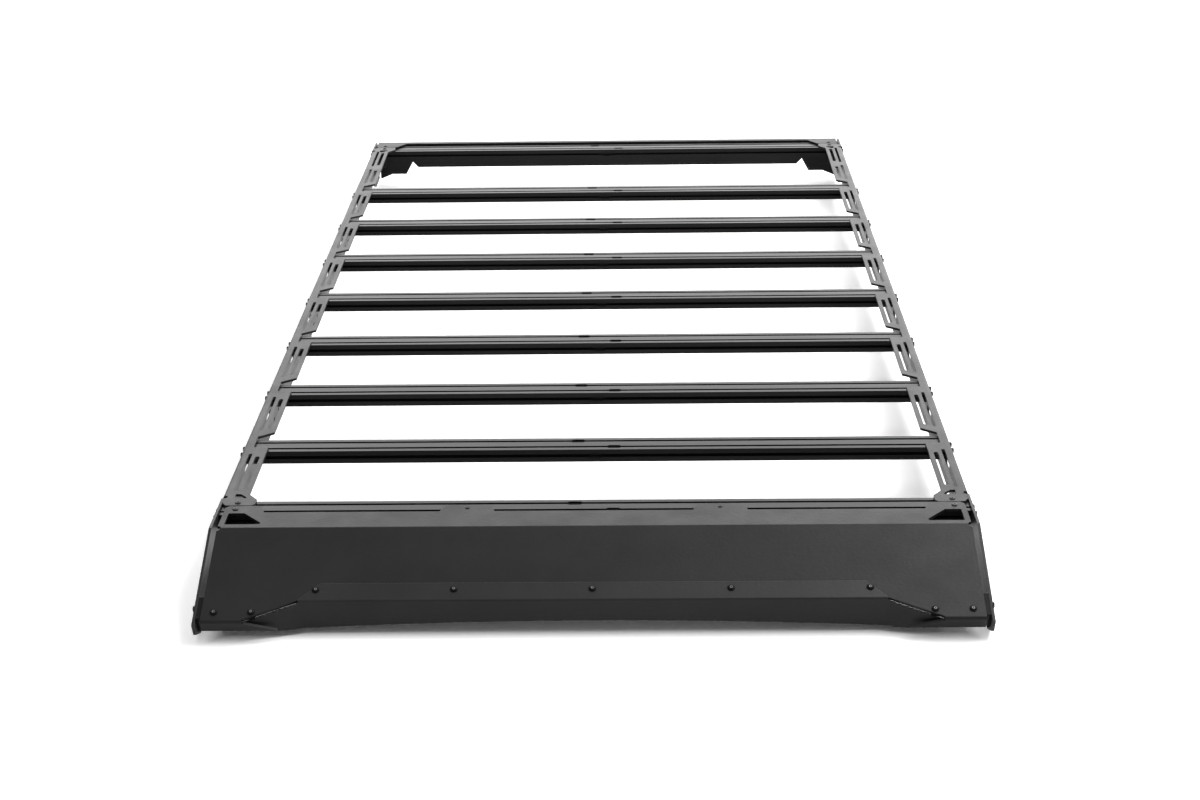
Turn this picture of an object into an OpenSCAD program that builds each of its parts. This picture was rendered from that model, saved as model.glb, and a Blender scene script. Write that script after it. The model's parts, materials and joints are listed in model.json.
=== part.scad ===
// Low platform roof rack: two bent sheet side rails carry nine slotted crossbars, with a wind
// fairing and its lower panel in front and a closing panel behind. Everything is bolted aluminium.
// X runs across the vehicle, -Y is the front, +Z is up. The origin is the middle of the footprint.

/* [Rack] */
// Overall width over the side rails
rack_w = 1330; // [1100:5:1500]
// Centre distance of neighbouring crossbars
bar_pitch = 266.7; // [220:0.1:320]
// Centre distance of the first two crossbars
front_pitch = 260.7; // [220:0.1:320]
// Centre distance of the last two crossbars
rear_pitch = 400; // [360:1:450]

/* [Crossbar profile] */
// Side of one square module of the profile, two of which lie side by side
module_w = 25.4; // [24:0.1:30]
// Width of the mouth of each slot
slot_mouth = 6.5; // [5:0.1:8]
// Thickness of the lips beside a slot mouth
slot_lip = 2.2; // [1.8:0.1:2.6]
// Width of the slot just behind the lips
slot_inner = 14.6; // [12:0.1:15]
// Depth of the slot below the face
slot_depth = 8.2; // [7:0.1:8.5]
// Width of the slot floor
slot_floor = 5.8; // [5:0.1:8]
// Diameter of the bore in the middle of each module
bar_bore = 5.2; // [4:0.1:6]
// Thickness of the walls between the slots, bores and middle cell of the profile
profile_wall = 2.2; // [1.8:0.1:2.4]
// Thickness of the skin over and under the middle cell
cell_skin = 3.5; // [2.5:0.1:4]
// Length of the drop-in mouth where a nut enters a slot
drop_in_l = 26; // [20:1:32]
// Width of the drop-in mouth
drop_in_w = 12.4; // [10:0.1:13]
// Distance of the drop-in mouths on top from the middle of the bar
drop_in_x = 34; // [30:1:60]

/* [Sheet] */
// Thickness of the rails' and fairing's sheet
sheet_t = 4.8; // [4:0.1:6]
// Outer radius of a bend
bend_r = 7; // [6.5:0.1:9]
// Gap left between two parts that are fitted beside each other
fit_gap = 0.3; // [0.2:0.05:1]
// Thickness of the corner brackets
bracket_t = 4; // [3:0.1:6]

/* [Side rails] */
// Width of the rail's top flange between crossbars
flange_w = 47; // [42:0.5:55]
// Width of the flange where it passes over a crossbar
strip_w = 19; // [16:0.5:22]
// Height of the rail's web below the crossbars' tops
web_drop = 78; // [70:1:95]
// Length of the slanted end of a flange tab
tab_slant = 20; // [12:1:28]
// Distance from a crossbar to the slanted end of the next tab, at the rail
tab_gap = 6; // [3:0.5:12]
// Width of the outer slots in the flange
outer_slot_w = 6.5; // [5:0.1:7.5]
// Distance of the outer slots from the rail's outer face
outer_slot_in = 19; // [17:0.1:20]
// Width of the inner slots in the flange
inner_slot_w = 8.4; // [7:0.1:9]
// Distance of the inner slots from the rail's outer face
inner_slot_in = 34; // [31:0.1:36]
// Distance the flange's front end reaches inwards
nose_tab_w = 64; // [56:1:70]
// Length of the long holes in the web
web_hole_l = 52; // [40:1:60]
// Height of the long holes in the web
web_hole_h = 18; // [12:0.5:20]
// Diameter of the holes that fasten the rail to a vehicle foot
foot_hole_d = 8.6; // [6:0.1:10]
// Distance between the two holes of a foot
foot_hole_pitch = 50.8; // [40:0.1:70]
// Height of the foot holes above the web's lower edge
foot_hole_up = 14; // [10:0.5:18]
// Diameter of the bolt holes in the web and flange
bolt_hole_d = 6.6; // [6:0.1:7]

/* [Fairing] */
// Distance from the front crossbar to the fairing's bend
fairing_reach = 58; // [50:1:70]
// Length of the sloping face at the fairing's ends, along the ground
face_run = 186.5; // [160:1:210]
// Drop of the sloping face at the fairing's ends
face_drop = 79; // [65:1:90]
// Length along the ground by which the middle of the face is shorter
face_cutback = 40.5; // [25:1:45]
// Distance from the fairing's end to the start of the slanted edge
face_end_w = 69; // [60:1:100]
// Width of the slanted edge between the face's end and its middle
face_slant_w = 88; // [70:1:110]
// Depth of the turned-down lip at the ends of the face
lip_h = 24; // [20:1:30]
// Length by which the lip reaches past the face's corner, at its lower edge
lip_tongue = 58; // [30:1:64]
// Height of the lowest point of the rail's cheek below the crossbars' tops
cheek_drop = 118; // [112:1:128]
// Gap between the cheeks and the ends of the fairing
cheek_gap = 9.5; // [3:0.5:11]
// Gap between the fairing's tabs and those of the rails, which meet over the front crossbar
tab_joint = 2; // [1:0.1:2.5]
// Distance of the outer bolts on the face's lower edge from the ends of the lower panel
face_bolt_end = 27.7; // [20:0.1:40]
// Thickness of the lower panel's sheet
panel_t = 3; // [2:0.1:4]
// Length of the lower panel's flange on the sloping face
panel_flange = 34; // [30:1:45]
// Height of the lower panel's wall in its middle
panel_wall_h = 37.5; // [32:0.5:42]
// By how much its arched lower edge is deeper at the folds
panel_arch = 11.5; // [6:0.5:14]

/* [Rear panel] */
// Gap between the rear crossbar and the rear panel's flange
rear_gap = 10; // [6:0.5:16]
// Depth of the rear panel's flange
rear_flange = 22; // [18:1:30]
// Height of the rear panel in its middle
rear_drop = 70; // [60:1:76]
// Height of the rear panel at its deep ends
rear_end_drop = 90; // [82:1:100]

/* [Hidden] */
$fn = 48;
eps = 0.01;
// Crossbars between the front and rear bars, one node for each in NODES
mid_bars = 7;
half_w = rack_w / 2;
bar_d = 2 * module_w;
bar_h = module_w;
bar_half = half_w - sheet_t;
n_bars = mid_bars + 2;
function mid_bar_y(i) = front_pitch + (i - 1) * bar_pitch;
rear_y = mid_bar_y(mid_bars) + rear_pitch;
function bar_y(i) = i == 0 ? 0 : i < n_bars - 1 ? mid_bar_y(i) : rear_y;
slot_y1 = module_w / 2;
slot_y2 = module_w * 1.5;
slot_shoulder = 1.5;
slot_edge = slot_y1 - slot_mouth / 2;

// Side view of the fairing: its bend, the slope of its face and the cheeks beside it
bend_y = -fairing_reach;
nose_y = bend_y - face_run;
face_angle = atan(face_drop / face_run);
face_len = norm([face_run, face_drop]);
cut_len = face_cutback / cos(face_angle);

// Where the rail's flange ends, a relief with a round inner end frees its bend from the cheek
relief_y = bar_d + 5;
relief_w = 11;
relief_in = 4.5;

// The rear end of the rails and the panel between them
panel_y = rear_y + bar_d + rear_gap + rear_flange;
tail_y = panel_y + 2;
tail_drop = 104;
// Where something at y by the front crossbar has its mirror image by the rear one
function rear_of(y) = rear_y + bar_d - y;

// The model is moved so that its origin is in the middle of the footprint
mid_y = (nose_y + tail_y) / 2;

inner_x = half_w - flange_w;
strip_x = half_w - strip_w;
nose_tab_x = half_w - nose_tab_w;
tab_bolt_in = 33;
tab_edge = module_w;
rail_tab_y = tab_edge + tab_joint;
fairing_half = half_w - sheet_t - cheek_gap;
rear_half = half_w - sheet_t - 4.5;

module place() { translate([0, -mid_y, cheek_drop]) children(); }

module both_sides() { children(); mirror([1, 0, 0]) children(); }

// Turns a side view drawn as (y, z) into a plate from x = 0 to x = w
module side_plate(w) { rotate([90, 0, 90]) linear_extrude(w) children(); }

// One T-shaped slot, its mouth centred on the origin and opening towards +Y
module tee_slot() {
  polygon([[-slot_mouth / 2, 1], [-slot_mouth / 2, -slot_lip], [-slot_inner / 2, -slot_lip],
           [-slot_inner / 2, -slot_lip - slot_shoulder], [-slot_floor / 2, -slot_depth],
           [slot_floor / 2, -slot_depth], [slot_inner / 2, -slot_lip - slot_shoulder],
           [slot_inner / 2, -slot_lip], [slot_mouth / 2, -slot_lip], [slot_mouth / 2, 1]]);
}

// Hollow between the two modules of a crossbar, an eight-sided cell whose corners clear the slots
cell_w = module_w - bar_bore - 2 * profile_wall;
cell_h = bar_h - 2 * cell_skin;
slot_corner = (module_w - slot_inner) / 2 + bar_h / 2 - slot_lip - slot_shoulder;
cell_cut = (cell_w + cell_h) / 2 - slot_corner + profile_wall * sqrt(2);
module cell() {
  w = cell_w / 2;
  h = cell_h / 2;
  polygon([[-w, h - cell_cut], [cell_cut - w, h], [w - cell_cut, h], [w, h - cell_cut],
           [w, cell_cut - h], [w - cell_cut, -h], [cell_cut - w, -h], [-w, cell_cut - h]]);
}

// Cross-section of a crossbar: front face at x = 0, top at y = 0
module bar_section() {
  difference() {
    translate([0, -bar_h]) square([bar_d, bar_h]);
    for (y = [slot_y1, slot_y2]) {
      translate([y, 0]) tee_slot();
      translate([y, -bar_h]) mirror([0, 1]) tee_slot();
      translate([y, -bar_h / 2]) circle(d = bar_bore);
    }
    translate([0, -bar_h / 2]) rotate(90) tee_slot();
    translate([bar_d, -bar_h / 2]) rotate(-90) tee_slot();
    translate([module_w, -bar_h / 2]) cell();
  }
}

// Six-sided mouth through which a nut drops into a slot
module drop_in() {
  l = drop_in_l / 2;
  w = drop_in_w / 2;
  n = slot_mouth / 2;
  translate([0, 0, -slot_lip - eps]) linear_extrude(slot_lip + 1)
    polygon([[-l, n], [w - n - l, w], [l + n - w, w], [l, n], [l, -n], [l + n - w, -w],
             [w - n - l, -w], [-l, -n]]);
}

// A crossbar from rail to rail, with its front face at y
module crossbar(y) {
  color("#3c3c3d") place() translate([0, y, 0]) difference() {
    translate([-bar_half, 0, 0]) side_plate(2 * bar_half) bar_section();
    translate([drop_in_x, slot_y1, 0]) drop_in();
    translate([-drop_in_x, slot_y2, 0]) drop_in();
    translate([0, 0, -bar_h / 2]) rotate([90, 0, 0]) drop_in();
  }
}

// Slot with round ends, from y0 to y1 along Y
module long_slot(y0, y1, w) {
  translate([-w / 2, y0 + w / 2]) square([w, y1 - y0 - w]);
  for (y = [y0 + w / 2, y1 - w / 2]) translate([0, y]) circle(d = w);
}

// Part of a bend about the origin, from the +Y direction clockwise by the angle a
module bend_sector(a, r, t) {
  far = 2 * r;
  intersection() {
    difference() {
      circle(r);
      circle(r - t);
    }
    polygon([[0, 0], [0, far], [far * tan(a / 2), far], [far * sin(a), far * cos(a)]]);
  }
}

// Angle section of the right rail: web outside, flange inwards, outer corner rounded
module rail_section() {
  translate([half_w - sheet_t, -web_drop]) square([sheet_t, web_drop + sheet_t - bend_r + eps]);
  translate([inner_x, 0]) square([flange_w - bend_r + eps, sheet_t]);
  difference() {
    translate([half_w - bend_r, sheet_t - bend_r]) {
      intersection() {
        circle(bend_r);
        square(bend_r);
      }
    }
    translate([half_w - bend_r - 1, -bend_r]) square([bend_r - sheet_t + 1, bend_r]);
  }
}

// What is cut from the flange at a crossbar, so that its rear slot stays open
module flange_gap(y) {
  y0 = y + slot_edge;
  y1 = y + bar_d + tab_gap;
  polygon([[inner_x - 1, y0], [strip_x - 3, y0], [strip_x, y0 + 3], [strip_x, y1],
           [inner_x, y1 + tab_slant], [inner_x - 1, y1 + tab_slant]]);
}

// Slots in the flange between two crossbars, from the first one's rear face to the next one's front
outer_ends = [33, 19];
inner_ends = [42, 31];
module bay_slots(y0, y1) {
  translate([half_w - outer_slot_in, 0]) long_slot(y0 + outer_ends[0], y1 - outer_ends[1], outer_slot_w);
  translate([half_w - inner_slot_in, 0]) long_slot(y0 + inner_ends[0], y1 - inner_ends[1], inner_slot_w);
}

// All slots in the flange; the long last bay has two rows
row_gap = 15;
last_mid = (bar_y(mid_bars) + bar_d + rear_y) / 2;
module flange_slots() {
  for (i = [0 : mid_bars - 1]) bay_slots(bar_y(i) + bar_d, bar_y(i + 1));
  bay_slots(bar_y(mid_bars) + bar_d, last_mid + outer_ends[1] - row_gap);
  bay_slots(last_mid - outer_ends[0] + row_gap, rear_y);
}

// Flange's end over the first or last crossbar, drawn for the front one
module end_tab() {
  outer = half_w - sheet_t - fit_gap;
  corner = [7, 11];
  inner_corner = 5;
  inner_reach = 21;
  polygon([[inner_x, bar_d + inner_reach], [nose_tab_x, bar_d], [nose_tab_x, rail_tab_y + inner_corner],
           [nose_tab_x + inner_corner, rail_tab_y], [outer - corner.x, rail_tab_y],
           [outer, rail_tab_y + corner.y], [outer, relief_y], [half_w - relief_in, relief_y],
           [half_w - relief_in, relief_y + relief_w + eps], [strip_x, relief_y + relief_w + eps],
           [strip_x, bar_d + inner_reach]]);
}

// Hole behind the front crossbar's bolts and the round end of the relief
module end_holes() {
  hole = [44, 23];
  hole_gap = 4.5;
  hole_l = 17;
  translate([half_w, bar_d + hole_gap]) polygon([[-hole[0], 0], [-hole[1], 0], [-hole[1], hole_l],
                                                 [-hole[1] - 9, hole_l], [-hole[0], 4]]);
  translate([half_w - relief_in, relief_y + relief_w / 2]) circle(d = relief_w);
  translate([half_w - tab_bolt_in, slot_y2]) circle(d = bolt_hole_d);
}

// Long hole in the web, below every second crossbar and just in front of the others
web_hole_z = -bar_h - web_hole_h / 2 - 2.6;
function web_hole_y(i) = bar_y(i) + (i % 2 == 1 ? 5 : -web_hole_l / 2);
module web_hole(i) {
  translate([web_hole_y(i), web_hole_z]) rotate(-90) long_slot(-web_hole_l / 2, web_hole_l / 2, web_hole_h);
}

// Outline of the web and of the flat cheeks at its two ends
cheek_nose = 6;
cheek_lean = 8;
cheek_front_h = 24;
cheek_back = 40;
cheek_foot = 12;
tail_rise = 50;
tail_corner = 10;
foot_bars = [2 : 2 : mid_bars];
module web_outline() {
  bend_z = sheet_t - bend_r;
  difference() {
    polygon([[relief_y + relief_w, bend_z], [relief_y, bend_z], [relief_y, sheet_t], [bend_y, sheet_t],
             [nose_y, sheet_t - face_drop - cheek_nose], [nose_y + cheek_lean, -face_drop - cheek_front_h],
             [nose_y + cheek_back, -cheek_drop], [nose_y + cheek_back + cheek_foot, -cheek_drop],
             [0, -web_drop], [rear_y - tail_rise, -web_drop], [rear_y, -tail_drop], [tail_y, -tail_drop],
             [tail_y, sheet_t - tail_corner], [tail_y - tail_corner, sheet_t], [rear_of(relief_y), sheet_t],
             [rear_of(relief_y), bend_z]]);
    for (i = [1 : mid_bars]) web_hole(i);
    // Crossbar bolts, then the holes for the vehicle's feet
    for (i = [0 : n_bars - 1], y = [slot_y1, slot_y2]) translate([bar_y(i) + y, -bar_h / 2]) circle(d = bolt_hole_d);
    for (i = foot_bars, y = [-foot_hole_pitch / 2, foot_hole_pitch / 2])
      translate([bar_y(i) + module_w + foot_hole_pitch / 2 + y, foot_hole_up - web_drop]) circle(d = foot_hole_d);
  }
}

module right_rail() {
  flange_y0 = relief_y + relief_w;
  flange_y1 = rear_of(flange_y0);
  translate([half_w - sheet_t, 0, 0]) side_plate(sheet_t) web_outline();
  difference() {
    union() {
      translate([0, flange_y0, 0]) rotate([90, 0, 0]) mirror([0, 0, 1])
        linear_extrude(flange_y1 - flange_y0) difference() {
          rail_section();
          // The web below the bend comes from its own outline
          translate([half_w - sheet_t - 1, -web_drop - 1]) square([sheet_t + 2, web_drop + 1 + sheet_t - bend_r]);
        }
      linear_extrude(sheet_t) {
        end_tab();
        translate([0, rear_of(0)]) mirror([0, 1]) end_tab();
      }
    }
    // Flange cut back at each crossbar, slots, and the holes at both ends
    translate([0, 0, -eps]) linear_extrude(sheet_t + 1) {
      for (i = [1 : mid_bars]) flange_gap(bar_y(i));
      flange_slots();
      end_holes();
      translate([0, rear_of(0)]) mirror([0, 1]) end_holes();
    }
  }
}

module side_rail_right() { color("#8f8f90") place() right_rail(); }
module side_rail_left() { color("#8f8f90") place() mirror([1, 0, 0]) right_rail(); }
module front_crossbar() { crossbar(bar_y(0)); }
module rear_crossbar() { crossbar(rear_y); }

// What is cut from the fairing's flange: between its tabs, which reach over the front bar's slot,
// the holes near its ends, the corners of the end tabs and the bolt holes
end_tab_w = 78;
mid_tab_x = 222;
mid_tab_half = 40;
tab_taper = 8;
hole_edges = [24, 52, 86];
hole_rear = 3;
hole_front = 45;
module recess(x0, x1) {
  polygon([[x0 + tab_taper, 0], [x0, tab_edge], [x0, tab_edge + 1], [x1, tab_edge + 1], [x1, tab_edge], [x1 - tab_taper, 0]]);
}
module flange_cuts() {
  recess(mid_tab_half - mid_tab_x, mid_tab_x - mid_tab_half);
  both_sides() {
    recess(mid_tab_x + mid_tab_half, half_w - end_tab_w);
    translate([half_w, 0]) polygon(rounded([[-hole_edges[0], -hole_rear], [-hole_edges[1], -hole_rear],
      [-hole_edges[2], -hole_front + 6], [-hole_edges[2], -hole_front], [-hole_edges[0], -hole_front]], 2.5));
    translate([fairing_half, tab_edge]) polygon([[1, -8], [-7, 0], [-7, 1], [1, 1]]);
    for (x = [half_w - tab_bolt_in, mid_tab_x]) translate([x, slot_y1]) circle(d = bolt_hole_d);
  }
}

// Puts a flat pattern on the sloping face: x across, y down the slope from the bend, outside upwards
module on_slope(d = 0) {
  translate([0, bend_y, sheet_t]) rotate([face_angle, 0, 0]) translate([0, 0, -d]) mirror([0, 1, 0]) children();
}

// Side view of a bent sheet, drawn from the sharp corners of its outer surface. Points of the bend
// at the corner b between a and c, at the radius q about its centre, for an outer radius r
function unit(v) = v / norm(v);
function bend_points(a, b, c, r, q) =
  let (u = unit(a - b), w = unit(c - b), half = acos(u * w) / 2, turn = 180 - 2 * half,
       centre = b + unit(u + w) * r / sin(half), from = unit(b + u * r / tan(half) - centre),
       to = unit(b + w * r / tan(half) - centre), steps = ceil(turn / 9))
  [for (i = [0 : steps]) let (k = i / steps)
    centre + q * (from * sin(turn * (1 - k)) + to * sin(turn * k)) / sin(turn)];
function side_of(a, b, c) = cross(b - a, c - b) < 0 ? -1 : 1;
function inwards(a, b, s) = s * unit([a.y - b.y, b.x - a.x]);
function reversed(list) = [for (i = [len(list) - 1 : -1 : 0]) list[i]];
// Closed outline with all its corners rounded
function rounded(p, r) = [for (i = [0 : len(p) - 1])
  each bend_points(p[(i + len(p) - 1) % len(p)], p[i], p[(i + 1) % len(p)], r, r)];
module bent_sheet(path, radii, t) {
  last = len(path) - 1;
  s = side_of(path[0], path[1], path[2]);
  bends = [for (i = [1 : last - 1]) [path[i - 1], path[i], path[i + 1], radii[i - 1]]];
  outer = [for (b = bends) each bend_points(b[0], b[1], b[2], b[3], b[3])];
  inner = [for (b = bends) each bend_points(b[0], b[1], b[2], b[3], b[3] - t)];
  polygon(concat([path[0]], outer, [path[last], path[last] + t * inwards(path[last - 1], path[last], s)],
                 reversed(inner), [path[0] + t * inwards(path[0], path[1], s)]));
}

// The face's lower edge is cut back in its middle, with slanted stretches to its ends
face_end_x = fairing_half - face_end_w;
face_mid_x = face_end_x - face_slant_w;
face_mid_len = face_len - cut_len;
corner_bolts = [35, 97.5];
corner_bolt_up = 20.5;
mid_bolt_up = 20;
bend_relief = 6;
lip_r = sheet_t + 0.6;
function slope_point(along, out) = [bend_y - along * cos(face_angle) - out * sin(face_angle),
                                    sheet_t - along * sin(face_angle) + out * cos(face_angle)];
module face_cuts() {
  b = face_len - lip_r;
  polygon([[face_end_x, b], [face_mid_x, face_mid_len], [-face_mid_x, face_mid_len], [-face_end_x, b],
           [-face_end_x, face_len + 1], [face_end_x, face_len + 1]]);
  both_sides() for (x = corner_bolts)
    translate([half_w - x, face_len - corner_bolt_up]) circle(d = bolt_hole_d);
  face_bolts();
}

// What is cut from the lip between its two ends, seen along the slope: x across, y outwards
module lip_cut() {
  x = face_end_x - lip_tongue;
  polygon([[-face_end_x, -sheet_t], [face_end_x, -sheet_t], [x, -lip_h], [x, -lip_h - 1], [-x, -lip_h - 1],
           [-x, -lip_h]]);
}

// Row of bolts that fastens the lower panel
panel_half = face_mid_x - 2;
face_bolt_pitch = (panel_half - face_bolt_end) / 2;
module face_bolts() {
  for (i = [-2 : 2]) translate([i * face_bolt_pitch, face_mid_len - mid_bolt_up]) circle(d = bolt_hole_d);
}

module wind_fairing() {
  color("#2e2e2f") place() difference() {
    translate([-fairing_half, 0, 0]) side_plate(2 * fairing_half)
      bent_sheet([[tab_edge, sheet_t], [bend_y, sheet_t], slope_point(face_len, 0), slope_point(face_len, -lip_h)],
                 [bend_r, lip_r], sheet_t);
    translate([0, 0, -1]) linear_extrude(sheet_t + 2) flange_cuts();
    on_slope(sheet_t + 1) linear_extrude(sheet_t + 2) face_cuts();
    on_slope() translate([0, face_len + 1, 0]) rotate([90, 0, 0]) linear_extrude(bend_r + 1) lip_cut();
    // Round relief at each end of the bend
    both_sides() translate([fairing_half, bend_y, -bend_r]) cylinder(r = bend_relief, h = 2 * bend_r);
  }
}

// Lower panel: a flange bolted on the face, an upright wall below it and two wings angled forwards
panel_bend_r = panel_t + 1;
panel_turn = 90 - face_angle;
panel_edge = face_mid_len + fit_gap;
wall_y = bend_y - panel_edge * cos(face_angle) - (panel_t - panel_bend_r) * sin(face_angle) - panel_bend_r;
wall_z = sheet_t - panel_edge * sin(face_angle) + (panel_t - panel_bend_r) * cos(face_angle);
// The fold between the wall and a wing leans inwards going down
fold_low = [panel_half - 12.7, wall_z - panel_wall_h - panel_arch];
fold_top = [panel_half + 5.3, wall_z - 4.9];
fold_dir = unit(fold_top - fold_low);
fold_len = norm(fold_top - fold_low);
fold_lap = 1.5;
function from_fold(a, b) = a * fold_dir + b * [fold_dir.y, -fold_dir.x];
// A wing's tip lies just behind the lip and under the face; its place sets the wing's angle
tip_under = 7;
tip_side = slope_point(face_len - sheet_t - panel_t, -sheet_t - tip_under);
tip_x = face_end_x - 1.7 - fold_low.x;
tip_up = tip_side.y - fold_low.y;
tip_out = wall_y - tip_side.x;
tip_flat = tip_x * fold_dir.y - tip_up * fold_dir.x;
tip_a = tip_x * fold_dir.x + tip_up * fold_dir.y;
tip_b = norm([tip_flat, tip_out]);
wing_angle = atan(tip_out / tip_flat);
wing_edge = [[0.97, 0.97], [0.47, 0.57], [0.37, 0.47], [0.22, 0.29], [0.11, 0.13]];
module panel_bend() {
  translate([panel_edge, panel_t - panel_bend_r]) bend_sector(panel_turn, panel_bend_r, panel_t);
}
// One wing drawn flat: the fold's lower end is the origin, and the wall's plane is x and y
module wing_outline() {
  polygon(concat([[0, 0], from_fold(0.5, -fold_lap), from_fold(fold_len - 0.5, -fold_lap), from_fold(fold_len, 0),
                  from_fold(tip_a, tip_b)],
                 [for (e = wing_edge) from_fold(e[0] * fold_len, e[1] * tip_b)]));
}
module wall_outline() {
  side = [[panel_half, wall_z + eps], fold_top, fold_low + from_fold(fold_len - 1, fold_lap),
          fold_low + from_fold(1.5, fold_lap), fold_low];
  arch = [for (k = [15 : -1 : -15]) [k / 16 * fold_low.x, wall_z - panel_wall_h - panel_arch * pow(k / 16, 2)]];
  polygon(concat(side, arch, [for (p = reversed(side)) [-p.x, p.y]]));
}
module fairing_lower_panel() {
  color("#343435") place() {
    on_slope() linear_extrude(panel_t) difference() {
      polygon([[-panel_half, panel_edge], [panel_half, panel_edge],
               [panel_half - panel_flange, panel_edge - panel_flange],
               [panel_flange - panel_half, panel_edge - panel_flange]]);
      face_bolts();
    }
    on_slope() translate([-panel_half, 0, 0]) side_plate(2 * panel_half) panel_bend();
    translate([0, wall_y + panel_t, 0]) rotate([90, 0, 0]) linear_extrude(panel_t) wall_outline();
    both_sides() translate([fold_low.x, wall_y, fold_low.y]) rotate(a = -wing_angle, v = [fold_dir.x, 0, fold_dir.y])
      translate([0, panel_t, 0]) rotate([90, 0, 0]) linear_extrude(panel_t) wing_outline();
  }
}

// Corner bracket behind the fairing: one leg under the face, one on the cheek
bracket_len = 44;
bracket_w = 100;
bracket_leg = 36;
bracket_edge = 9;
module right_fairing_bracket() {
  front = face_len - corner_bolt_up + bracket_edge;
  on_slope(sheet_t) difference() {
    translate([bar_half - bracket_w, front - bracket_len, -bracket_leg]) difference() {
      cube([bracket_w, bracket_len, bracket_leg]);
      translate([-1, -1, -1]) cube([bracket_w - bracket_t + 1, bracket_len + 2, bracket_leg - bracket_t + 1]);
    }
    for (x = corner_bolts) translate([half_w - x, face_len - corner_bolt_up, -bracket_t - 1])
      cylinder(d = bolt_hole_d, h = bracket_t + 2);
  }
}
module fairing_bracket_right() { color("#343435") place() right_fairing_bracket(); }
module fairing_bracket_left() { color("#343435") place() mirror([1, 0, 0]) right_fairing_bracket(); }

// Rear panel: a flange with end tabs over the rear bar, and a wall with a notched lower edge
module rear_flange_plan() {
  y0 = panel_y - rear_flange;
  tab_y = rear_of(tab_edge);
  difference() {
    union() {
      translate([-rear_half, y0]) square([2 * rear_half, rear_flange - bend_r]);
      both_sides() translate([half_w, 0]) polygon([[rear_half - half_w, y0 + 1], [rear_half - half_w, tab_y + 6],
        [rear_half - half_w - 6, tab_y], [-66, tab_y], [-90, y0], [-90, y0 + 1]]);
    }
    both_sides() translate([half_w - tab_bolt_in, rear_y + slot_y2]) circle(d = bolt_hole_d);
  }
}
module rear_wall_outline() {
  polygon([[rear_half, sheet_t - bend_r], [rear_half, -tail_drop], [half_w - 43, -rear_end_drop],
           [half_w - 84, -rear_end_drop], [half_w - 104, -rear_drop + 16], [half_w - 119, -rear_drop],
           [119 - half_w, -rear_drop], [104 - half_w, -rear_drop + 16], [84 - half_w, -rear_end_drop],
           [43 - half_w, -rear_end_drop], [-rear_half, -tail_drop], [-rear_half, sheet_t - bend_r]]);
}
module rear_panel() {
  color("#343435") place() {
    linear_extrude(sheet_t) rear_flange_plan();
    translate([-rear_half, panel_y - bend_r, sheet_t - bend_r]) side_plate(2 * rear_half)
      bend_sector(90, bend_r, sheet_t);
    translate([0, panel_y, 0]) rotate([90, 0, 0]) linear_extrude(sheet_t) rear_wall_outline();
  }
}

// Corner bracket between the rear panel's wall and the rail
rear_bracket_h = 56;
rear_bracket_leg = 24;
module right_rear_bracket() {
  translate([bar_half - rear_bracket_leg, panel_y - sheet_t - rear_bracket_leg, -rear_bracket_h - 14]) difference() {
    cube([rear_bracket_leg, rear_bracket_leg, rear_bracket_h]);
    translate([-1, -1, -1]) cube([rear_bracket_leg - bracket_t + 1, rear_bracket_leg - bracket_t + 1, rear_bracket_h + 2]);
  }
}
module rear_bracket_right() { color("#343435") place() right_rear_bracket(); }
module rear_bracket_left() { color("#343435") place() mirror([1, 0, 0]) right_rear_bracket(); }

side_rail_left();
side_rail_right();
front_crossbar();
crossbar(bar_y(1));  // crossbar_2
crossbar(bar_y(2));  // crossbar_3
crossbar(bar_y(3));  // crossbar_4
crossbar(bar_y(4));  // crossbar_5
crossbar(bar_y(5));  // crossbar_6
crossbar(bar_y(6));  // crossbar_7
crossbar(bar_y(7));  // crossbar_8
rear_crossbar();
wind_fairing();
fairing_lower_panel();
fairing_bracket_left();
fairing_bracket_right();
rear_panel();
rear_bracket_left();
rear_bracket_right();
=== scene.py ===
import json
import math
import bmesh
import bpy
from mathutils import Matrix, Vector


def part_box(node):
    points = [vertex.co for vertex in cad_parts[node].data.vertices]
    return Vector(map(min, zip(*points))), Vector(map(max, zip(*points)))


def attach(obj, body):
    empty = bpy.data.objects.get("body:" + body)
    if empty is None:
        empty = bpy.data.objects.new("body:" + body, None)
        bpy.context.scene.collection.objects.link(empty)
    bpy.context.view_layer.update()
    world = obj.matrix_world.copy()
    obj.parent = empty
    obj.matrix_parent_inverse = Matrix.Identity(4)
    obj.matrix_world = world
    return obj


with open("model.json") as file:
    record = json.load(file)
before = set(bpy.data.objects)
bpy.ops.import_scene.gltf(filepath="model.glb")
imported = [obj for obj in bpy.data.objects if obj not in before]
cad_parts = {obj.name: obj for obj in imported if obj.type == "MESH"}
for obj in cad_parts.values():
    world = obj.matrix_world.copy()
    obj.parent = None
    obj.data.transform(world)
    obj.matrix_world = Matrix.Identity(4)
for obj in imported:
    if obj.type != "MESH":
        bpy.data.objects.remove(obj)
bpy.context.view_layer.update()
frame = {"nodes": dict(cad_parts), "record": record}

# Names of the crossbars and sides, and places read from the frame, in metres
BARS = ["front_crossbar"] + ["crossbar_%d" % n for n in range(2, 9)] + ["rear_crossbar"]
SIDES = (("left", -1), ("right", 1))
bar_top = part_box("front_crossbar")[1].z
front_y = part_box("front_crossbar")[0].y
half_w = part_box("side_rail_right")[1].x

# Profile, sheets and sloping face, as the part has them
MODULE = 0.0254
SHEET = 0.0048
PANEL_T = 0.003
FAIRING_REACH = 0.058
FACE_RUN = 0.1865
FACE_DROP = 0.079
FACE_CUTBACK = 0.0405
face_angle = math.atan(FACE_DROP / FACE_RUN)
face_len = math.hypot(FACE_RUN, FACE_DROP)
face_mid_len = face_len - FACE_CUTBACK / math.cos(face_angle)
face_normal = Vector((0, -math.sin(face_angle), math.cos(face_angle)))

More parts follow.
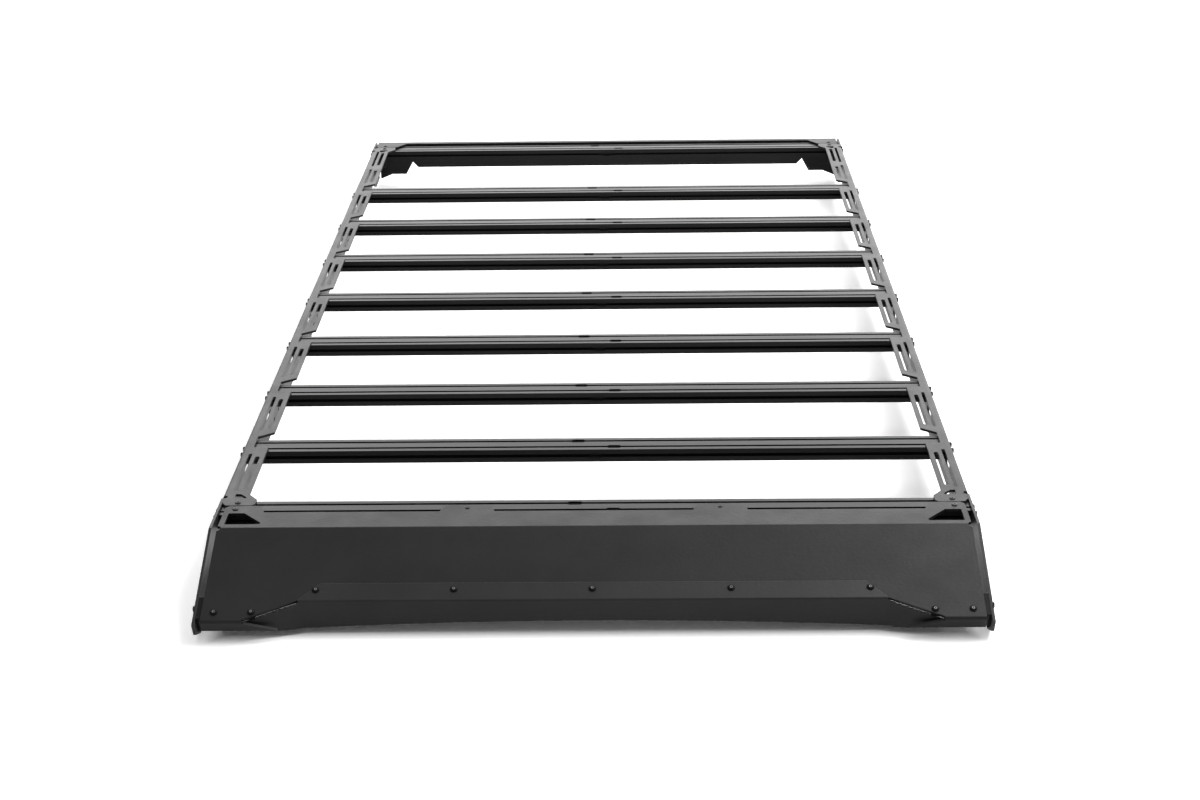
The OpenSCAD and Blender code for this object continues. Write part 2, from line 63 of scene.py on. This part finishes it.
# Bolts of the rails' tabs, the flange and the cheeks
TAB_BOLT_IN = 0.033
MID_TAB_X = 0.222
CHEEK_BOLT_Y = 0.214
CHEEK_BOLT_Z = 0.0665

# Bolts of the sloping face: up from its lower edge, and in from the rails' outsides
FACE_BOLT_PITCH = 0.232
FACE_BOLTS_EACH_SIDE = 2
MID_BOLT_UP = 0.02
CORNER_BOLT_UP = 0.0205
CORNER_BOLTS_IN = (0.035, 0.0975)

# Fasteners: threads, head heights as shares of the thread, small edges, and the steps of round forms
SCREW = 0.006
SMALL_SCREW = 0.0045
HEAD = 0.5
LOW_HEAD = 0.3
WASHER_T = 0.0012
EDGE = 0.0002
CHAMFER = 0.0003
SOCKET_BOTTOM_R = 0.0003
SEGMENTS = 36
DOME_STEPS = 7
SHARP_DEGREES = 32

# Camera, solved from the straight edges of the rack in the photograph
CAMERA_X = 0.07034
CAMERA_Y = -2.9813
CAMERA_Z = 1.5230
CAMERA_YAW = 0.0189
CAMERA_PITCH = -0.4132
CAMERA_ROLL = -0.0147
FOCAL_PX = 1907.8
PHOTO_W = 1200
SENSOR_W = 36

# Floor: half its side, its two greys, and the light added where it is seen, everywhere and far away
FLOOR_HALF = 30
FLOOR_GREYS = (0.92, 0.94)
FLOOR_LIFT = 0.4
HORIZON_LIFT = 0.6

# Boxes in X and Y, as middle, half sizes and soft edge: the dark floor below the fairing, and the near floor
UNDER_FAIRING = ((0.0, front_y - 0.1), (0.62, 0.112), 0.03)
NEAR_FLOOR = ((0.0, 0.0), (3.0, 4.0), 4.0)

# Softboxes: name, place, the point that they face, width and height, and watts
SOFTBOXES = (
    ("back", (0.2, 6.5, 3.0), (0, 0, 0.1), (8, 4.6), 375),
    ("back_right", (3.2, 6.2, 3.0), (0, 0, 0.1), (3.5, 4.6), 60),
    ("back_left", (-3.2, 6.2, 4.0), (0, 0, 0.1), (1.8, 1.8), 40),
    ("overhead_right", (2.6, 0.2, 4.0), (0.2, -0.4, 0), (3.4, 3), 300),
    ("overhead", (0.0, -2.0, 4.8), (0, 0.2, 0), (5, 2), 60),
)
WORLD_LIGHT = 0.28

# Powder coats: tone, tone of worn edges, roughness and specular level
RAIL_COAT = (0.02, 0.09, 0.38, 0.12)
FAIRING_COAT = (0.007, 0.035, 0.44, 0.14)
# The lower panel's coat is a lighter, glossier copy of the fairing coat: painted light on its wall, which
# the floor in front lights
PANEL_LIT_COAT = (0.008, 0.045, 0.43, 0.18)
# The brackets' near-black coat is painted shade: they show in the gaps beside the cheeks, where shade falls
BRACKET_SHADE = (0.003, 0.01, 0.6, 0.1)

# The crossbars' tone, roughness and specular level
ANODISED = (0.006, 0.32, 0.11)

# Steels: dark tone, light tone and specular level
BLACK_STEEL = (0.002, 0.005, 0.06)
# The second, lighter steel on the bolts' crowns is a painted highlight: it stands in for the light caught on
# the top of each dome
CROWN_HIGHLIGHT_STEEL = (0.1, 0.22, 0.4)


def on_slope(x, along, out):
    """The point at x on the sloping face, a distance along it from the bend, and out from its surface."""
    return Vector((x, front_y - FAIRING_REACH - along * math.cos(face_angle) - out * math.sin(face_angle),
                   bar_top + SHEET - along * math.sin(face_angle) + out * math.cos(face_angle)))


def make_camera():
    data = bpy.data.cameras.new("camera")
    data.sensor_width = SENSOR_W
    data.lens = FOCAL_PX / PHOTO_W * SENSOR_W
    data.clip_start = 0.05
    data.clip_end = 100
    camera = bpy.data.objects.new("camera", data)
    bpy.context.scene.collection.objects.link(camera)
    turn = Matrix.Rotation(CAMERA_YAW, 3, "Z") @ Matrix.Rotation(CAMERA_PITCH, 3, "X")
    right, forward, up = turn.col[0], turn.col[1], turn.col[2]
    cos_r, sin_r = math.cos(CAMERA_ROLL), math.sin(CAMERA_ROLL)
    axes = Matrix((cos_r * right + sin_r * up, cos_r * up - sin_r * right, -forward)).transposed()
    place = (CAMERA_X, front_y + CAMERA_Y, bar_top + CAMERA_Z)
    camera.matrix_world = Matrix.Translation(place) @ axes.to_4x4()
    bpy.context.scene.camera = camera


class Nodes:
    """Short calls for building a node tree."""

    def __init__(self, tree):
        self.tree = tree

    def join(self, socket, value):
        """Link a socket to the value, or set it where the value is a constant."""
        if isinstance(value, bpy.types.NodeSocket):
            self.tree.links.new(value, socket)
        else:
            socket.default_value = value

    def put(self, node, name, value):
        self.join(node.inputs[name], value)

    def add(self, kind, **inputs):
        node = self.tree.nodes.new(kind)
        for key, value in inputs.items():
            name = key.replace("_", " ")
            if name in node.inputs:
                self.put(node, name, value)
            else:
                setattr(node, key, value)
        return node

    def coords(self, scale=(1, 1, 1)):
        place = self.add("ShaderNodeTexCoord").outputs["Object"]
        return self.add("ShaderNodeMapping", Vector=place, Scale=scale).outputs["Vector"]

    def noise(self, vector, size, detail=3.0, roughness=0.5):
        """Noise whose grain is about size metres."""
        node = self.add("ShaderNodeTexNoise", Vector=vector, Scale=1.0 / size, Detail=detail,
                        Roughness=roughness)
        return node.outputs["Fac"]

    def ramp(self, value, low, high, out_low, out_high):
        node = self.add("ShaderNodeMapRange", Value=value)
        for name, v in (("From Min", low), ("From Max", high), ("To Min", out_low), ("To Max", out_high)):
            node.inputs[name].default_value = v
        return node.outputs["Result"]

    def mix(self, factor, a, b):
        node = self.add("ShaderNodeMix", data_type="RGBA")
        for name, value in (("Factor_Float", factor), ("A_Color", a), ("B_Color", b)):
            self.join(next(s for s in node.inputs if s.identifier == name), value)
        return next(s for s in node.outputs if s.identifier == "Result_Color")

    def math(self, operation, *values):
        node = self.add("ShaderNodeMath", operation=operation)
        for socket, value in zip(node.inputs, values):
            self.join(socket, value)
        return node.outputs[0]

    def outside(self, middle, half, blend):
        """0 in a box in X and Y and 1 outside it, with a soft edge."""
        axes = self.add("ShaderNodeSeparateXYZ", Vector=self.coords())
        far = None
        for axis, centre, size in zip("XY", middle, half):
            off = self.math("ABSOLUTE", self.math("SUBTRACT", axes.outputs[axis], centre))
            off = self.ramp(off, size, size + blend, 0.0, 1.0)
            far = off if far is None else self.math("MAXIMUM", far, off)
        return far

    def bump(self, height, depth, normal):
        node = self.add("ShaderNodeBump", Height=height, Distance=depth, Strength=1.0, Normal=normal)
        return node.outputs["Normal"]

    def edge(self, radius):
        """Wear, 1 on edges and 0 on flat faces, and the rounded normal that it comes from."""
        rounded = self.add("ShaderNodeBevel", Radius=radius, samples=4).outputs["Normal"]
        true = self.add("ShaderNodeNewGeometry").outputs["Normal"]
        dot = self.add("ShaderNodeVectorMath", operation="DOT_PRODUCT")
        self.join(dot.inputs[0], rounded)
        self.join(dot.inputs[1], true)
        return self.ramp(dot.outputs["Value"], 0.98, 0.8, 0.0, 1.0), rounded

    def seen(self):
        """1 for rays that show a surface, straight or in a reflection, and 0 for those that light others."""
        path = self.add("ShaderNodeLightPath")
        out = path.outputs["Is Camera Ray"]
        for ray in ("Is Glossy Ray", "Is Transmission Ray"):
            out = self.math("MAXIMUM", out, path.outputs[ray])
        return out


def new_material(name):
    """A material, short calls for its nodes, and its shader."""
    material = bpy.data.materials.new(name)
    material.use_nodes = True
    return material, Nodes(material.node_tree), material.node_tree.nodes["Principled BSDF"]


def plain_grey(value):
    return (value, value, value, 1)


def cool_grey(value):
    return (value, value, value * 1.02, 1)


def powder_coat(name, base, worn, rough, specular):
    """Satin powder coat: fine pimples, a slow orange peel, cloudy gloss and lighter edges."""
    material, n, shader = new_material(name)
    place = n.coords()
    pimples = n.noise(place, 0.0011, 2.0, 0.6)
    peel = n.noise(place, 0.006, 2.0)
    cloud = n.noise(place, 0.16, 4.0)
    dust = n.noise(place, 0.035, 5.0, 0.65)
    gloss = n.noise(place, 0.05, 4.0)
    worn_edge, rounded = n.edge(0.0009)
    tone = n.mix(n.ramp(cloud, 0.3, 0.7, 0.0, 1.0), cool_grey(base * 0.75), cool_grey(base * 1.3))
    tone = n.mix(n.ramp(dust, 0.55, 0.8, 0.0, 0.25), tone, cool_grey(base * 1.5))
    tone = n.mix(n.ramp(worn_edge, 0.0, 1.0, 0.0, 0.55), tone, cool_grey(worn))
    n.put(shader, "Base Color", tone)
    n.put(shader, "Roughness", n.ramp(gloss, 0.3, 0.7, rough - 0.04, rough + 0.05))
    n.put(shader, "Specular IOR Level", specular)
    n.put(shader, "Normal", n.bump(n.math("MULTIPLY_ADD", pimples, 0.35, peel), 0.0002, rounded))
    return material


def anodised(name, base, rough, specular):
    """Black anodised extrusion: fine die lines along X, faint streaks and slightly burnished edges."""
    material, n, shader = new_material(name)
    lines = n.noise(n.coords((0.01, 1, 1)), 0.0005, 2.0, 0.6)
    streaks = n.noise(n.coords((0.02, 1, 1)), 0.004, 3.0)
    cloud = n.noise(n.coords(), 0.12, 3.0)
    worn_edge, rounded = n.edge(0.0004)
    tone = n.mix(n.ramp(streaks, 0.35, 0.7, 0.0, 1.0), cool_grey(base * 0.85), cool_grey(base * 1.2))
    tone = n.mix(n.ramp(cloud, 0.4, 0.7, 0.0, 0.3), tone, cool_grey(base * 1.3))
    tone = n.mix(n.ramp(worn_edge, 0.0, 1.0, 0.0, 0.5), tone, cool_grey(base * 2.2))
    n.put(shader, "Base Color", tone)
    n.put(shader, "Roughness", n.ramp(streaks, 0.3, 0.7, rough - 0.05, rough + 0.06))
    n.put(shader, "Specular IOR Level", specular)
    n.put(shader, "Normal", n.bump(lines, 0.00003, rounded))
    return material


def steel(name, low, high, specular):
    """Steel of the bolts: mottled, slightly glossy, brighter along its edges."""
    material, n, shader = new_material(name)
    mottle = n.noise(n.coords(), 0.0016, 4.0, 0.6)
    worn_edge, rounded = n.edge(0.0003)
    tone = n.mix(n.ramp(mottle, 0.4, 0.75, 0.0, 1.0), cool_grey(low), cool_grey(high))
    tone = n.mix(n.ramp(worn_edge, 0.0, 1.0, 0.0, 0.6), tone, cool_grey(high * 2.5))
    n.put(shader, "Base Color", tone)
    n.put(shader, "Roughness", n.ramp(mottle, 0.3, 0.7, 0.24, 0.4))
    n.put(shader, "Specular IOR Level", specular)
    n.put(shader, "Normal", n.bump(mottle, 0.00002, rounded))
    return material


def assign(node, material):
    frame["nodes"][node].data.materials.clear()
    frame["nodes"][node].data.materials.append(material)


def make_materials():
    """Coat the part's nodes, and return the coats of rails and fairing for the bolts painted with them."""
    by_slot = {"rail_coat": powder_coat("rail_coat", *RAIL_COAT),
               "fairing_coat": powder_coat("fairing_coat", *FAIRING_COAT),
               "bar_anodised": anodised("bar_anodised", *ANODISED)}
    for part in frame["record"]["subparts"]:
        assign(part["node"], by_slot[part["material_slot"]])
    # The rear panel takes the darker fairing coat instead of its own: painted shade for its wall, which
    # stands in shade
    assign("rear_panel", by_slot["fairing_coat"])
    # The lower panel's lighter coat is painted light on its wall
    assign("fairing_lower_panel", powder_coat("lower_panel_lit_coat", *PANEL_LIT_COAT))
    # The fairing brackets get a near-black coat as painted shade, for the shade in the gaps beside the
    # cheeks
    shaded_bracket = powder_coat("bracket_shade_coat", *BRACKET_SHADE)
    for side, _ in SIDES:
        assign("fairing_bracket_" + side, shaded_bracket)
    return by_slot["rail_coat"], by_slot["fairing_coat"]


def mesh_object(name, bm, materials):
    bmesh.ops.recalc_face_normals(bm, faces=bm.faces)
    data = bpy.data.meshes.new(name)
    bm.to_mesh(data)
    bm.free()
    data.polygons.foreach_set("use_smooth", [True] * len(data.polygons))
    data.set_sharp_from_angle(angle=math.radians(SHARP_DEGREES))
    obj = bpy.data.objects.new(name, data)
    bpy.context.scene.collection.objects.link(obj)
    for material in materials:
        data.materials.append(material)
    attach(obj, "root")
    return obj


def aligned(place, axis):
    """Matrix that puts a fastener drawn along +Z at place, with +Z along axis."""
    return Matrix.Translation(place) @ Vector(axis).to_track_quat("Z", "Y").to_matrix().to_4x4()


def rings(bm, profile, matrix):
    """Closed body of revolution, from below to the middle of the top.

    Its entries are (radius, z) or (radius, z, kind). A "crown" entry starts faces of the second material. A
    "hex" entry is a hexagon and starts the third."""
    rows = []
    for entry in profile:
        radius, z = entry[:2]
        row = []
        for k in range(SEGMENTS):
            a = 2 * math.pi * k / SEGMENTS
            r = radius
            if entry[-1] == "hex":
                r = radius / math.cos((a + math.pi / 6) % (math.pi / 3) - math.pi / 6)
            row.append(bm.verts.new(matrix @ Vector((r * math.cos(a), r * math.sin(a), z))))
        rows.append(row)
    index = 0
    for low, high, entry in zip(rows, rows[1:], profile):
        index = {"crown": 1, "hex": 2}.get(entry[-1], index)
        for k in range(SEGMENTS):
            after = (k + 1) % SEGMENTS
            face = bm.faces.new((low[k], low[after], high[after], high[k]))
            face.material_index = index
    bm.faces.new(list(reversed(rows[0])))
    bm.faces.new(rows[-1]).material_index = index


def button_head(bm, place, axis, size=SCREW, height=HEAD):
    """Button-head screw with a hexagon socket. Its head rests on the surface at place."""
    r = size * 0.92
    h = size * height
    crown = size * 0.4
    socket = size * 0.19
    rim = h * 0.14
    turns = [math.pi / 2 * k / DOME_STEPS for k in range(DOME_STEPS)]
    dome = [(r - (r - crown) * (1 - math.cos(t)), rim + (h - rim) * math.sin(t)) for t in turns]
    profile = [(r - EDGE, 0), (r, EDGE)] + dome + [
        (crown, h, "crown"), (socket + 0.00025, h), (socket, h - 0.00015, "hex"), (socket, h * 0.3, "hex"),
        (SOCKET_BOTTOM_R, h * 0.2)]
    rings(bm, profile, aligned(place, axis))


def low_head(bm, place, axis):
    button_head(bm, place, axis, height=LOW_HEAD)


def small_head(bm, place, axis):
    button_head(bm, place, axis, size=SMALL_SCREW, height=LOW_HEAD)


def cap_head(bm, place, axis, size=SCREW):
    """Socket-head cap screw with a plain rim, its head resting on the surface at place."""
    r = size * 0.83
    h = size
    socket = size * 0.42
    profile = [(r - CHAMFER, 0), (r, CHAMFER), (r, h - 0.0006), (r - 0.0002, h - 0.00022), (r - 0.0006, h),
               (socket + CHAMFER, h), (socket, h - EDGE, "hex"), (socket, h * 0.5, "hex"),
               (SOCKET_BOTTOM_R, h * 0.42)]
    rings(bm, profile, aligned(place, axis))


def washer(bm, place, axis, size=SCREW):
    r = size * 1.08
    profile = [(r - EDGE, 0), (r, EDGE), (r, WASHER_T - EDGE), (r - EDGE, WASHER_T), (size * 0.55, WASHER_T)]
    rings(bm, profile, aligned(place, axis))


def lock_nut(bm, place, axis, size=SCREW):
    """Hexagon nut with a round collar, and the end of its screw."""
    flat = size * 0.83
    h = size * 0.8
    screw = size * 0.5
    collar = h + 0.001
    profile = [(flat - CHAMFER, 0, "hex"), (flat, CHAMFER, "hex"), (flat, h - 0.0004, "hex"),
               (flat * 0.93, h), (flat * 0.85, h + 0.0006), (flat * 0.8, collar),
               (screw, collar), (screw, h + 0.0022), (size * 0.42, h + 0.003)]
    rings(bm, profile, aligned(place, axis))


def bolts(name, places, axis, materials, head, washers=False):
    """One object of fasteners at places. Its materials are those of head, crown and socket."""
    bm = bmesh.new()
    step = Vector(axis).normalized() * (WASHER_T if washers else 0)
    for place in places:
        if washers:
            washer(bm, place, axis)
        head(bm, place + step, axis)
    return mesh_object(name, bm, materials)


def make_fasteners(rail_coat, fairing_coat):
    black = steel("black_steel", *BLACK_STEEL)
    # The crown steel is a painted highlight on the bolt heads: a lighter tone in place of the light on the
    # top of each dome
    highlight_steel = steel("crown_highlight_steel", *CROWN_HIGHLIGHT_STEEL)
    plain, crown_highlight = [black] * 3, [black, highlight_steel, black]
    painted, fairing_painted = [rail_coat, rail_coat, black], [fairing_coat, fairing_coat, black]
    rows = [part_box(bar)[0].y + MODULE * k for bar in BARS for k in (0.5, 1.5)]
    flange = bar_top + SHEET
    up = (0, 0, 1)
    for side, s in SIDES:
        out = (s, 0, 0)
        ends = [Vector((s * half_w, y, bar_top - MODULE / 2)) for y in rows]
        bolts("crossbar_bolts_" + side, ends, out, plain, cap_head, washers=True)
        cheek = Vector((s * half_w, front_y - CHEEK_BOLT_Y, bar_top - CHEEK_BOLT_Z))
        bolts("cheek_bolt_" + side, [cheek], out, painted, low_head)
        tabs = [Vector((s * (half_w - TAB_BOLT_IN), y, flange)) for y in rows[:2] + rows[-2:]]
        bolts("tab_bolts_" + side, tabs, up, painted, low_head)
        mid_tab = Vector((s * MID_TAB_X, rows[0], flange))
        bolts("mid_tab_bolt_" + side, [mid_tab], up, fairing_painted, small_head)
        corner = [on_slope(s * (half_w - x), face_len - CORNER_BOLT_UP, 0) for x in CORNER_BOLTS_IN]
        bolts("corner_bolts_" + side, corner, face_normal, crown_highlight, low_head, washers=True)
    across = [k * FACE_BOLT_PITCH for k in range(-FACE_BOLTS_EACH_SIDE, FACE_BOLTS_EACH_SIDE + 1)]
    along = face_mid_len - MID_BOLT_UP
    above = [on_slope(x, along, PANEL_T) for x in across]
    bolts("lower_panel_bolts", above, face_normal, crown_highlight, low_head, washers=True)
    below = [on_slope(x, along, -SHEET) for x in across]
    bolts("lower_panel_nuts", below, -face_normal, plain, lock_nut)


def make_floor():
    material, n, shader = new_material("floor")
    dark, light = FLOOR_GREYS
    n.put(shader, "Base Color", n.mix(n.noise(n.coords(), 0.4, 2.0), plain_grey(dark), plain_grey(light)))
    n.put(shader, "Roughness", 0.9)
    n.put(shader, "Specular IOR Level", 0.1)
    n.put(shader, "Emission Color", plain_grey(1))
    lift = n.ramp(n.outside(*UNDER_FAIRING), 0.0, 1.0, 0.0, FLOOR_LIFT)
    horizon = n.ramp(n.outside(*NEAR_FLOOR), 0.0, 1.0, 0.0, HORIZON_LIFT)
    n.put(shader, "Emission Strength", n.math("MULTIPLY", n.seen(), n.math("ADD", lift, horizon)))
    bm = bmesh.new()
    bmesh.ops.create_grid(bm, x_segments=1, y_segments=1, size=FLOOR_HALF)
    data = bpy.data.meshes.new("floor")
    bm.to_mesh(data)
    bm.free()
    floor = bpy.data.objects.new("floor", data)
    bpy.context.scene.collection.objects.link(floor)
    data.materials.append(material)


def area_light(name, place, target, size, watts):
    data = bpy.data.lights.new(name, "AREA")
    data.shape = "RECTANGLE"
    data.size, data.size_y = size
    data.energy = watts
    light = bpy.data.objects.new(name, data)
    light.location = place
    light.rotation_mode = "QUATERNION"
    light.rotation_quaternion = (Vector(target) - Vector(place)).to_track_quat("-Z", "Y")
    bpy.context.scene.collection.objects.link(light)


def make_light():
    for softbox in SOFTBOXES:
        area_light(*softbox)
    world = bpy.data.worlds.new("world")
    world.use_nodes = True
    n = Nodes(world.node_tree)
    background = world.node_tree.nodes["Background"]
    n.put(background, "Strength", 1.0)
    n.put(background, "Color", n.mix(n.seen(), plain_grey(WORLD_LIGHT), plain_grey(1)))
    bpy.context.scene.world = world


make_camera()
make_fasteners(*make_materials())
make_floor()
make_light()
bpy.context.scene.view_settings.view_transform = "Standard"
